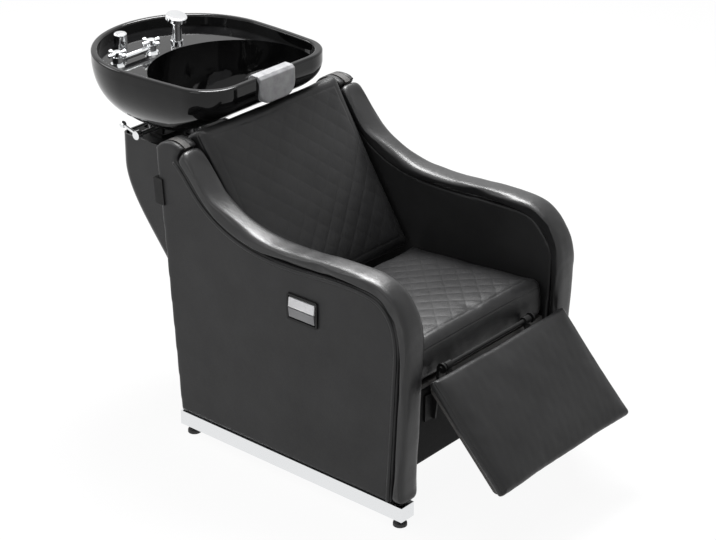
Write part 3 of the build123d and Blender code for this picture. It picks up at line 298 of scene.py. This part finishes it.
def leather(name, dark, light, roughness, specular=0.23):
    """Coated upholstery: pebbled grain, faint creases, and a colour and polish that vary a little."""
    material, tree, shader = base_material(
        name, dark, roughness, coat=0.05, coat_roughness=0.3, specular=specular)
    where = object_coordinates(tree)
    cells = tree.nodes.new("ShaderNodeTexVoronoi")
    cells.feature = "SMOOTH_F1"
    cells.inputs["Scale"].default_value = 620
    cells.inputs["Smoothness"].default_value = 0.5
    link(tree, where, cells.inputs["Vector"])
    broad = noise(tree, where, scale=9)
    fine = noise(tree, where, scale=180)
    creases = noise(tree, where, scale=26, detail=2)
    polish = map_range(tree, fine, low=roughness - 0.05, high=roughness + 0.06)
    grain = bump(tree, cells.outputs["Distance"], strength=0.35, distance=0.0006)
    relief = bump(tree, creases, strength=0.12, distance=0.004, before=grain)
    link(tree, mix_color(tree, broad, dark, light), shader.inputs["Base Color"])
    link(tree, polish, shader.inputs["Roughness"])
    link(tree, relief, shader.inputs["Normal"])
    return material


def metal(name, color, roughness, brushed=0.0):
    """Metal with a fine uneven polish, and brushing along X where asked."""
    material, tree, shader = base_material(name, color, roughness, metallic=1.0)
    where = object_coordinates(tree)
    if brushed:
        lines = noise(tree, stretched(tree, where, scale=(4, 260, 260)), scale=3, detail=2)
        relief = bump(tree, lines, strength=brushed, distance=0.0004)
    else:
        relief = bump(tree, noise(tree, where, scale=70, detail=2), strength=0.03, distance=0.0006)
    polish = map_range(tree, noise(tree, where, scale=24), low=roughness, high=roughness + 0.04)
    link(tree, relief, shader.inputs["Normal"])
    link(tree, polish, shader.inputs["Roughness"])
    return material


def plastic(name, color, roughness, texture=0.0, specular=0.5):
    """Moulded plastic, glaze or paint: slight unevenness, and a fine moulded texture where asked."""
    material, tree, shader = base_material(name, color, roughness, specular=specular)
    where = object_coordinates(tree)
    light_share, light_more = 1.25, 0.004
    light = tuple(min(c * light_share + light_more, 1) for c in color)
    patches = noise(tree, where, scale=14)
    spots = noise(tree, where, scale=40, detail=4)
    polish = map_range(tree, spots, low=roughness * 0.85, high=roughness * 1.2)
    relief = bump(tree, noise(tree, where, scale=12, detail=1), strength=0.05, distance=0.002)
    if texture:
        grain = noise(tree, where, scale=900, detail=2)
        relief = bump(tree, grain, strength=texture, distance=0.0004, before=relief)
    link(tree, mix_color(tree, patches, color, light), shader.inputs["Base Color"])
    link(tree, polish, shader.inputs["Roughness"])
    link(tree, relief, shader.inputs["Normal"])
    return material


def wood(name):
    """Dark-stained boards with their grain along X."""
    material, tree, shader = base_material(name, (0.03, 0.029, 0.028), roughness=0.6)
    where = object_coordinates(tree)
    rings = noise(tree, stretched(tree, where, scale=(6, 60, 60)), scale=2, detail=5)
    stain = mix_color(tree, rings, (0.022, 0.021, 0.020), (0.05, 0.047, 0.045))
    link(tree, stain, shader.inputs["Base Color"])
    link(tree, bump(tree, rings, strength=0.2, distance=0.001), shader.inputs["Normal"])
    return material


def gel(name):
    """Soft translucent gel with a faint skin texture."""
    material, tree, shader = base_material(
        name, (0.30, 0.30, 0.31), roughness=0.32, coat=0.3, coat_roughness=0.2)
    where = object_coordinates(tree)
    shader.inputs["Subsurface Weight"].default_value = 0.35
    shader.inputs["Subsurface Radius"].default_value = (0.006, 0.006, 0.006)
    shader.inputs["Transmission Weight"].default_value = 0.12
    tint = mix_color(tree, noise(tree, where, scale=45), (0.22, 0.22, 0.23), (0.36, 0.36, 0.37))
    relief = bump(tree, noise(tree, where, scale=160, detail=2), strength=0.12, distance=0.0008)
    link(tree, tint, shader.inputs["Base Color"])
    link(tree, relief, shader.inputs["Normal"])
    return material


def braid(name):
    """A metal sleeve with slanted strands."""
    material, tree, shader = base_material(name, (0.5, 0.5, 0.5), roughness=0.35, metallic=1.0)
    wave = tree.nodes.new("ShaderNodeTexWave")
    wave.inputs["Scale"].default_value = 220
    wave.bands_direction = "DIAGONAL"
    link(tree, object_coordinates(tree), wave.inputs["Vector"])
    link(tree, bump(tree, wave.outputs["Fac"], strength=0.6, distance=0.001), shader.inputs["Normal"])
    link(tree, map_range(tree, wave.outputs["Fac"], low=0.25, high=0.5), shader.inputs["Roughness"])
    return material


hide = leather("upholstery", (0.013, 0.013, 0.0135), (0.021, 0.021, 0.0215), roughness=0.38)
hide_panel = leather("panel_upholstery", (0.016, 0.016, 0.0165), (0.023, 0.023, 0.0235), roughness=0.46)
hide_band = leather(
    "band_upholstery", (0.012, 0.012, 0.0125), (0.018, 0.018, 0.0185), roughness=0.33, specular=0.36)
# Near-black leather for the front apron: painted shade, standing for the deep shadow behind the footrest.
painted_shade_leather = leather(
    "apron_painted_shade", (0.005, 0.005, 0.0052), (0.008, 0.008, 0.0082), roughness=0.7, specular=0.1)
looks = {
    "painted": plastic(
        "painted_steel", (0.005, 0.005, 0.0052), roughness=0.55, texture=0.15, specular=0.2),
    "steel": metal("plain_steel", (0.52, 0.52, 0.52), roughness=0.32, brushed=0.25),
    "chrome": metal("chromed", (0.80, 0.81, 0.82), roughness=0.07),
    "leatherette": hide,
    "plywood": wood("plywood"),
    "black_plastic": plastic(
        "black_plastic", (0.004, 0.004, 0.004), roughness=0.5, texture=0.2, specular=0.25),
    "silver_plastic": plastic("silver_plastic", (0.62, 0.62, 0.63), roughness=0.3),
    "gloss_shell": plastic("gloss_shell", (0.006, 0.006, 0.0065), roughness=0.16, specular=0.36),
    "glaze": plastic("black_glaze", (0.002, 0.002, 0.0022), roughness=0.05, specular=0.28),
    "gel": gel("soft_gel"),
    "hose_rubber": plastic("hose_rubber", (0.02, 0.02, 0.02), roughness=0.55, texture=0.2),
    "braid": braid("braided_sleeve"),
    "motor_plastic": plastic("motor_plastic", (0.03, 0.03, 0.032), roughness=0.5, texture=0.25),
    "pad_rubber": plastic("foot_rubber", (0.012, 0.012, 0.012), roughness=0.6, texture=0.3),
    "white_plastic": plastic("white_plastic", (0.8, 0.8, 0.8), roughness=0.2),
}
slots = {part["node"]: part["material_slot"] for part in frame["record"]["subparts"]}
for name, node in nodes.items():
    node.data.materials.clear()
    node.data.materials.append(looks[slots[name]])
# The lower button is the upper button's silver plastic, painted dark grey: painted shade for a face that
# tilts away from the light.
nodes["button_down"].data.materials[0] = plastic("down_button_painted_shade", (0.16, 0.16, 0.165), roughness=0.35)


def dress(piece, node, material, body="base"):
    """Lets a piece stand for a CAD node, with its finish and its body."""
    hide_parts(node)
    piece.data.materials.clear()
    piece.data.materials.append(material)
    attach(piece, body)


# The arms' contour, from the rear to the front, in shares of the side panel's depth and height
panel_rear_y, panel_foot_z = -0.074, 0.065
panel_depth, panel_height = 0.762, 0.765
contour_shares = [
    (0.043, 0.985), (0.16, 0.868), (0.307, 0.789), (0.531, 0.766),
    (0.805, 0.779), (0.932, 0.750), (1.005, 0.665), (1.026, 0.50),
]
rear_run_shares = (-0.07, -0.045)
curve_count, straight_count = 124, 44


def clamped_spline(points, first_run, last_run, count):
    """A smooth line through points with given end directions, evenly sampled."""
    fine_count = 1200
    p = np.array(points, float)
    chord = np.concatenate([[0], np.cumsum(np.linalg.norm(np.diff(p, axis=0), axis=1))])
    n = len(p)
    h = np.diff(chord)
    a = np.zeros((n, n))
    b = np.zeros((n, 2))
    a[0, 0] = a[-1, -1] = 1
    b[0] = np.array(first_run) / np.linalg.norm(first_run)
    b[-1] = np.array(last_run) / np.linalg.norm(last_run)
    for i in range(1, n - 1):
        a[i, i - 1] = h[i]
        a[i, i] = 2 * (h[i - 1] + h[i])
        a[i, i + 1] = h[i - 1]
        b[i] = 3 * (h[i] * (p[i] - p[i - 1]) / h[i - 1] + h[i - 1] * (p[i + 1] - p[i]) / h[i])
    m = np.linalg.solve(a, b)
    s = np.linspace(0, chord[-1], fine_count)
    k = np.clip(np.searchsorted(chord, s, side="right") - 1, 0, n - 2)
    t = ((s - chord[k]) / h[k])[:, None]
    hk = h[k][:, None]
    line = ((2 * t ** 3 - 3 * t ** 2 + 1) * p[k] + (t ** 3 - 2 * t ** 2 + t) * hk * m[k]
            + (-2 * t ** 3 + 3 * t ** 2) * p[k + 1] + (t ** 3 - t ** 2) * hk * m[k + 1])
    along = np.concatenate([[0], np.cumsum(np.linalg.norm(np.diff(line, axis=0), axis=1))])
    even = np.linspace(0, along[-1], count)
    return np.stack([np.interp(even, along, line[:, i]) for i in range(2)], axis=1)


contour_points = [
    (panel_rear_y - d * panel_depth, panel_foot_z + h * panel_height) for d, h in contour_shares
]
front_bend = contour_points[-2]
front_foot = (panel_rear_y - panel_depth, panel_foot_z)
rear_run = (rear_run_shares[0] * panel_depth, rear_run_shares[1] * panel_height)
front_run = (front_foot[0] - contour_points[-1][0], front_foot[1] - contour_points[-1][1])
curve = clamped_spline(contour_points, rear_run, front_run, curve_count)
straight = np.linspace(contour_points[-1], front_foot, straight_count)[1:]
contour = np.vstack([curve, straight])
run = np.gradient(contour, axis=0)
run /= np.linalg.norm(run, axis=1)[:, None]
# Across the line, into the panel
inward = np.stack([-run[:, 1], run[:, 0]], axis=1)


# The padded bands that follow the contour
band_width, band_depth = 0.070, 0.037
band_middle_x = 0.305
arm_side_x = 0.3405


def band_section():
    """Cross-section of the padded band: across the arm, and in from the contour."""
    count = 32
    side_power, edge_power, inner_power = 0.55, 0.62, 0.34
    loop = []
    for i in range(count):
        angle = 2 * pi * i / count
        c, s = cos(angle), sin(angle)
        power = edge_power if s < 0 else inner_power
        across = band_width / 2 * (abs(c) ** side_power) * (1 if c >= 0 else -1)
        into = band_depth / 2 + band_depth / 2 * (abs(s) ** power) * (1 if s >= 0 else -1)
        loop.append((across, into))
    return np.array(loop)


def closing(step, steps, least_share):
    """The share of its size that a band has near an end, on a quarter round over a few steps."""
    t = min(step, steps) / steps
    return least_share + (1 - least_share) * sqrt(1 - (1 - t) ** 2)


def arm_band(side, name, node):
    section = band_section()
    total = len(contour)
    middle = band_depth / 2
    rings = []
    for i in range(total):
        close = closing(i, steps=3, least_share=0.55)
        close *= closing(total - 1 - i, steps=2, least_share=0.8)
        across = side * (band_middle_x + section[:, 0] * close)
        into = middle + (section[:, 1] - middle) * close
        rings.append(np.column_stack([across, contour[i] + np.outer(into, inward[i])]))
    count = len(section)
    faces = tube_walls(total, count, side < 0) + tube_ends(total, count, side < 0)
    piece = new_mesh(name, np.vstack(rings), faces)
    inflate(piece, pressure=3.0, cap=0.004)
    subdivide(piece, 1)

    wave_height, crease_height, crease_reach, rail_gap = 0.0012, 0.0008, 0.16, 0.0003
    points = coordinates(piece)
    bend = np.interp(np.linalg.norm(points[:, 1:] - front_bend, axis=1), [0, crease_reach], [1, 0])
    lift = (smooth_noise(points, size=0.09, seed=3) * wave_height
            + smooth_noise(points, size=0.028, seed=5) * crease_height * bend)
    points = points + point_normals(piece) * lift[:, None]
    points[:, 0] = np.clip(points[:, 0], -arm_side_x, arm_side_x)
    points[:, 2] = np.maximum(points[:, 2], panel_foot_z + rail_gap)
    set_coordinates(piece, points)
    dress(piece, node, hide_band)


arm_band(-1, "arm_band_right", "arm_roll_right")
arm_band(1, "arm_band_left", "arm_roll_left")


def piping(side, name):
    """The narrow raised welt just inside the band, on the outer face."""
    gap, radius, rise_share, middle_x, count = 0.0105, 0.0058, 0.85, 0.3345, 12
    line = contour + inward * (band_depth + gap)
    points = []
    for (y, z), (in_y, in_z) in zip(line, inward):
        for j in range(count):
            angle = 2 * pi * j / count
            across = middle_x + radius * rise_share * cos(angle)
            into = radius * sin(angle)
            points.append((side * across, y + in_y * into, z + in_z * into))
    faces = tube_walls(len(line), count, side < 0) + tube_ends(len(line), count, True)
    dress(new_mesh(name, points, faces), "arm_welts", hide)


piping(-1, "arm_piping_right")
piping(1, "arm_piping_left")


# Skins over the panels and boards
def clear_switch_window(points):
    """Keeps a skin's window for the switch wider than the buttons that are pressed into it."""
    room = 0.0025
    corners = np.array([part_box("button_up"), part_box("button_down")]).reshape(-1, 3)
    low, high = corners.min(axis=0), corners.max(axis=0)
    middle, half = (low + high) / 2, (high - low) / 2 + room
    away = points - middle
    past = np.abs(away) - half
    inside = (past[:, 1] < 0) & (past[:, 2] < 0)
    sideways = inside & (past[:, 1] > past[:, 2])
    upright = inside & ~sideways
    points[sideways, 1] = middle[1] + np.sign(away[sideways, 1]) * half[1]
    points[upright, 2] = middle[2] + np.sign(away[upright, 2]) * half[2]


def side_skin(node, name, outward):
    """An outer panel's padded skin: the CAD form with soft edges and a slightly uneven face."""
    face_x, face_reach = 0.335, 0.012
    rise, broad_height, fine_height = 0.0006, 0.0008, 0.0003
    piece = soft_copy(node, name, voxel=0.0055, rounds=3)
    points = coordinates(piece)
    near = settle(1 - np.abs(points[:, 0] - outward * face_x) / face_reach)
    lift = (rise + broad_height * smooth_noise(points, size=0.30, seed=11)
            + fine_height * smooth_noise(points, size=0.07, seed=12))
    points[:, 0] += outward * near * lift
    if outward < 0:
        clear_switch_window(points)
    set_coordinates(piece, points)
    dress(piece, node, hide_panel)


side_skin("outer_panel_right", "side_skin_right", -1)
side_skin("outer_panel_left", "side_skin_left", 1)


def soft_board(node, name, material=hide_panel):
    """A covered board: the CAD form with soft edges and a slight unevenness."""
    wave_height = 0.0005
    piece = soft_copy(node, name, voxel=0.006, rounds=2)
    points = coordinates(piece)
    lift = smooth_noise(points, size=0.2, seed=21) * wave_height
    set_coordinates(piece, points + point_normals(piece) * lift[:, None])
    dress(piece, node, material)


soft_board("inner_panels", "inner_linings")
# The apron takes the near-black leather, painted shade for the deep shadow there.
soft_board("front_apron", "apron_skin", material=painted_shade_leather)
soft_board("rear_cover", "rear_skin")


# Cushions
def cushion_block(width, length, thick, radius, crown, draw):
    """A crowned block with drawn-in sides, centred on the origin with its top towards Z."""
    grid_step, crown_share, side_bulge = 0.0105, 0.75, 0.0035
    dome_power, draw_power, bulge_power = 2.4, 3, 8
    block = thick - crown * crown_share
    points, faces = block_grid(width, length, block, radius, grid_step)
    u = points[:, 0] / (width / 2)
    v = points[:, 1] / (length / 2)
    w = (points[:, 2] + block / 2) / block
    points[:, 2] += crown * falloff(u, dome_power) * falloff(v, dome_power) * settle((w - 0.5) * 2)
    # The sides pull in between the corners, and bulge between the edge seams.
    bulge = 4 * w * (1 - w) * side_bulge
    for axis, along, across in ((0, u, v), (1, v, u)):
        points[:, axis] -= draw * np.sign(along) * np.abs(along) ** draw_power * falloff(across, 2)
        points[:, axis] += np.sign(along) * np.abs(along) ** bulge_power * bulge
    return points, faces


def quilted(lift, points, width, length, facing):
    """Diamond quilting inside a border seam, in place of the plain unevenness."""
    pitch, puff, border, seam_depth = 0.042, 0.0009, 0.030, 0.0008
    puff_power, sunk_share, fade, seam_width = 0.42, 0.75, 0.006, 0.0028
    x, y = points[:, 0], points[:, 1]
    a = (x + y) / sqrt(2) / pitch
    b = (x - y) / sqrt(2) / pitch
    diamonds = puff * (np.abs(np.sin(pi * a)) * np.abs(np.sin(pi * b))) ** puff_power - puff * sunk_share
    inside = np.minimum(width / 2 - border - np.abs(x), length / 2 - border - np.abs(y))
    field = settle(inside / fade + 0.5) * facing
    seam = np.exp(-(inside / seam_width) ** 2) * facing
    return lift * (1 - field) + field * diamonds - seam_depth * seam


def cushion(name, node, body, middle, directions, size, radius, crown, draw, seed, quilt):
    """A cushion swollen by pressure, with its quilting or creases and its sewn edge, in place."""
    width, length, thick = size
    points, faces = cushion_block(width, length, thick, radius, crown, draw)
    piece = new_mesh(name, points, faces)
    inflate(piece, pressure=4.0, cap=0.005)
    subdivide(piece, 2)

    wave_height, crease_height, top_from, top_range = 0.0012, 0.0004, 0.55, 0.35
    points, normals = coordinates(piece), point_normals(piece)
    lift = (smooth_noise(points, size=0.11, seed=seed) * wave_height
            + smooth_noise(points, size=0.035, seed=seed + 1) * crease_height)
    if quilt:
        facing = settle((normals[:, 2] - top_from) / top_range)
        lift = quilted(lift, points, width, length, facing)
    # The sewn edge round the top: a fine groove where the top meets the side band
    groove_depth, groove_width, groove_drop, edge_share, side_range = 0.0016, 0.0016, 0.004, 0.9, 0.75
    groove_z = thick / 2 - radius * edge_share - groove_drop
    upright = settle(1 - np.abs(normals[:, 2]) / side_range)
    lift = lift - groove_depth * np.exp(-((points[:, 2] - groove_z) / groove_width) ** 2) * upright
    set_coordinates(piece, place(points + normals * lift[:, None], middle, *directions))
    dress(piece, node, hide, body=body)


def shifted(start, directions, along, out):
    """A place on a cushion, moved along its length and out from its top."""
    return np.array(start) + np.array(directions[1]) * along + np.array(directions[2]) * out


cushion_width = 0.531

seat_slope = radians(4.5)
seat_directions = (1, 0, 0), (0, cos(seat_slope), -sin(seat_slope)), (0, sin(seat_slope), cos(seat_slope))
seat_rear_top = (0, -0.370, 0.432)
seat_length, seat_thick = 0.436, 0.110
seat_middle = shifted(seat_rear_top, seat_directions, -seat_length / 2, -seat_thick / 2)
cushion("seat_pad", "seat_cushion", "base", seat_middle, seat_directions,
        size=(cushion_width, seat_length, seat_thick),
        radius=0.020, crown=0.010, draw=0.003, seed=31, quilt=True)

back_lean = radians(32)
back_directions = (1, 0, 0), (0, sin(back_lean), cos(back_lean)), (0, -cos(back_lean), sin(back_lean))
back_low_front = (0, -0.369, 0.432)
back_length, back_thick = 0.499, 0.074
back_middle = shifted(back_low_front, back_directions, back_length / 2, -back_thick / 2)
cushion("back_pad", "back_cushion", "base", back_middle, back_directions,
        size=(cushion_width, back_length, back_thick),
        radius=0.016, crown=0.010, draw=0.003, seed=41, quilt=True)

pad_droop = radians(46)
pad_directions = (-1, 0, 0), (0, -cos(pad_droop), -sin(pad_droop)), (0, -sin(pad_droop), cos(pad_droop))
pad_hinge = (0, -0.831, 0.392)
pad_start, pad_rise = 0.018, 0.0065
pad_length, pad_thick = 0.322, 0.038
pad_middle = shifted(pad_hinge, pad_directions, pad_start + pad_length / 2, pad_rise + pad_thick / 2)
cushion("footrest_cushion", "footrest_pad", "footrest", pad_middle, pad_directions,
        size=(cushion_width, pad_length, pad_thick),
        radius=0.009, crown=0.006, draw=0.002, seed=51, quilt=False)

rest = soft_copy("neck_rest", "gel_neck_rest", voxel=0.0016, rounds=6)
dress(rest, "neck_rest", looks["gel"], body="bowl")


# Floor, world, light and camera
def seen_by(tree, *kinds):
    """1 for the named kinds of ray and 0 for the others."""
    path = tree.nodes.new("ShaderNodeLightPath")
    value = path.outputs[kinds[0]]
    for kind in kinds[1:]:
        either = tree.nodes.new("ShaderNodeMath")
        either.operation = "MAXIMUM"
        link(tree, value, either.inputs[0])
        link(tree, path.outputs[kind], either.inputs[1])
        value = either.outputs["Value"]
    return value


def mix_shaders(tree, factor, first, second, output):
    mix = tree.nodes.new("ShaderNodeMixShader")
    link(tree, factor, mix.inputs["Fac"])
    link(tree, first, mix.inputs[1])
    link(tree, second, mix.inputs[2])
    link(tree, mix.outputs["Shader"], tree.nodes[output].inputs["Surface"])


def pale_floor():
    """A pale matt floor that the camera and reflections see nearly as bright as the backdrop."""
    material, tree, shader = base_material("pale_floor", (0.90, 0.90, 0.90), roughness=0.6)
    polish = map_range(tree, noise(tree, object_coordinates(tree), scale=3), low=0.55, high=0.65)
    link(tree, polish, shader.inputs["Roughness"])
    share = tree.nodes.new("ShaderNodeMath")
    share.operation = "MULTIPLY"
    share.inputs[1].default_value = 0.93
    link(tree, seen_by(tree, "Is Camera Ray", "Is Glossy Ray"), share.inputs[0])
    glow = tree.nodes.new("ShaderNodeEmission")
    glow.inputs["Color"].default_value = (1, 1, 1, 1)
    glow.inputs["Strength"].default_value = 1.0
    factor = share.outputs["Value"]
    mix_shaders(tree, factor, shader.outputs["BSDF"], glow.outputs["Emission"], "Material Output")
    return material


floor_half = 40
floor_corners = [(x * floor_half, y * floor_half, 0) for x, y in ((-1, -1), (1, -1), (1, 1), (-1, 1))]
floor = new_mesh("studio_floor", floor_corners, [(0, 1, 2, 3)])
floor.data.materials.append(pale_floor())


def white_world():
    """A dim sky that lights the object, and a full white one for the camera and in reflections."""
    world = bpy.data.worlds.new("studio")
    world.use_nodes = True
    tree = world.node_tree
    dim = tree.nodes["Background"]
    white = tree.nodes.new("ShaderNodeBackground")
    for background, strength in ((dim, 0.22), (white, 1.0)):
        background.inputs["Color"].default_value = (1, 1, 1, 1)
        background.inputs["Strength"].default_value = strength
    factor = seen_by(tree, "Is Camera Ray", "Is Transmission Ray", "Is Glossy Ray")
    mix_shaders(tree, factor, dim.outputs["Background"], white.outputs["Background"], "World Output")
    return world


scene.world = white_world()


def area_light(name, where, aim, size, power):
    data = bpy.data.lights.new(name, "AREA")
    data.energy = power
    data.shape = "SQUARE"
    data.size = size
    lamp = bpy.data.objects.new(name, data)
    scene.collection.objects.link(lamp)
    lamp.location = where
    lamp.rotation_euler = (Vector(aim) - Vector(where)).to_track_quat("-Z", "Y").to_euler()


area_light("key", where=(1.3, 0.9, 3.6), aim=(0, -0.4, 0.4), size=1.3, power=230)
area_light("side", where=(-3.6, -0.5, 2.4), aim=(0, -0.4, 0.5), size=1.8, power=26)
area_light("rear", where=(-1.0, 3.0, 2.6), aim=(0, 0, 0.7), size=1.4, power=40)
area_light("top", where=(0, -0.4, 3.6), aim=(0, -0.4, 0), size=2.4, power=40)

camera_data = bpy.data.cameras.new("camera")
camera_data.sensor_fit = "HORIZONTAL"
camera_data.sensor_width = 36
camera_data.lens = 110.66
camera = bpy.data.objects.new("camera", camera_data)
scene.collection.objects.link(camera)
elevation, azimuth, distance = radians(25.739), radians(-49.347), 5.7168
target = Vector((0, -0.405, 0.45825))
back = Vector((sin(azimuth) * cos(elevation), -cos(azimuth) * cos(elevation), sin(elevation)))
right = Vector((cos(azimuth), sin(azimuth), 0))
up = back.cross(right)
camera.location = target + back * distance
camera.rotation_euler = Matrix((right, up, back)).transposed().to_euler()
scene.camera = camera
scene.view_settings.view_transform = "Standard"
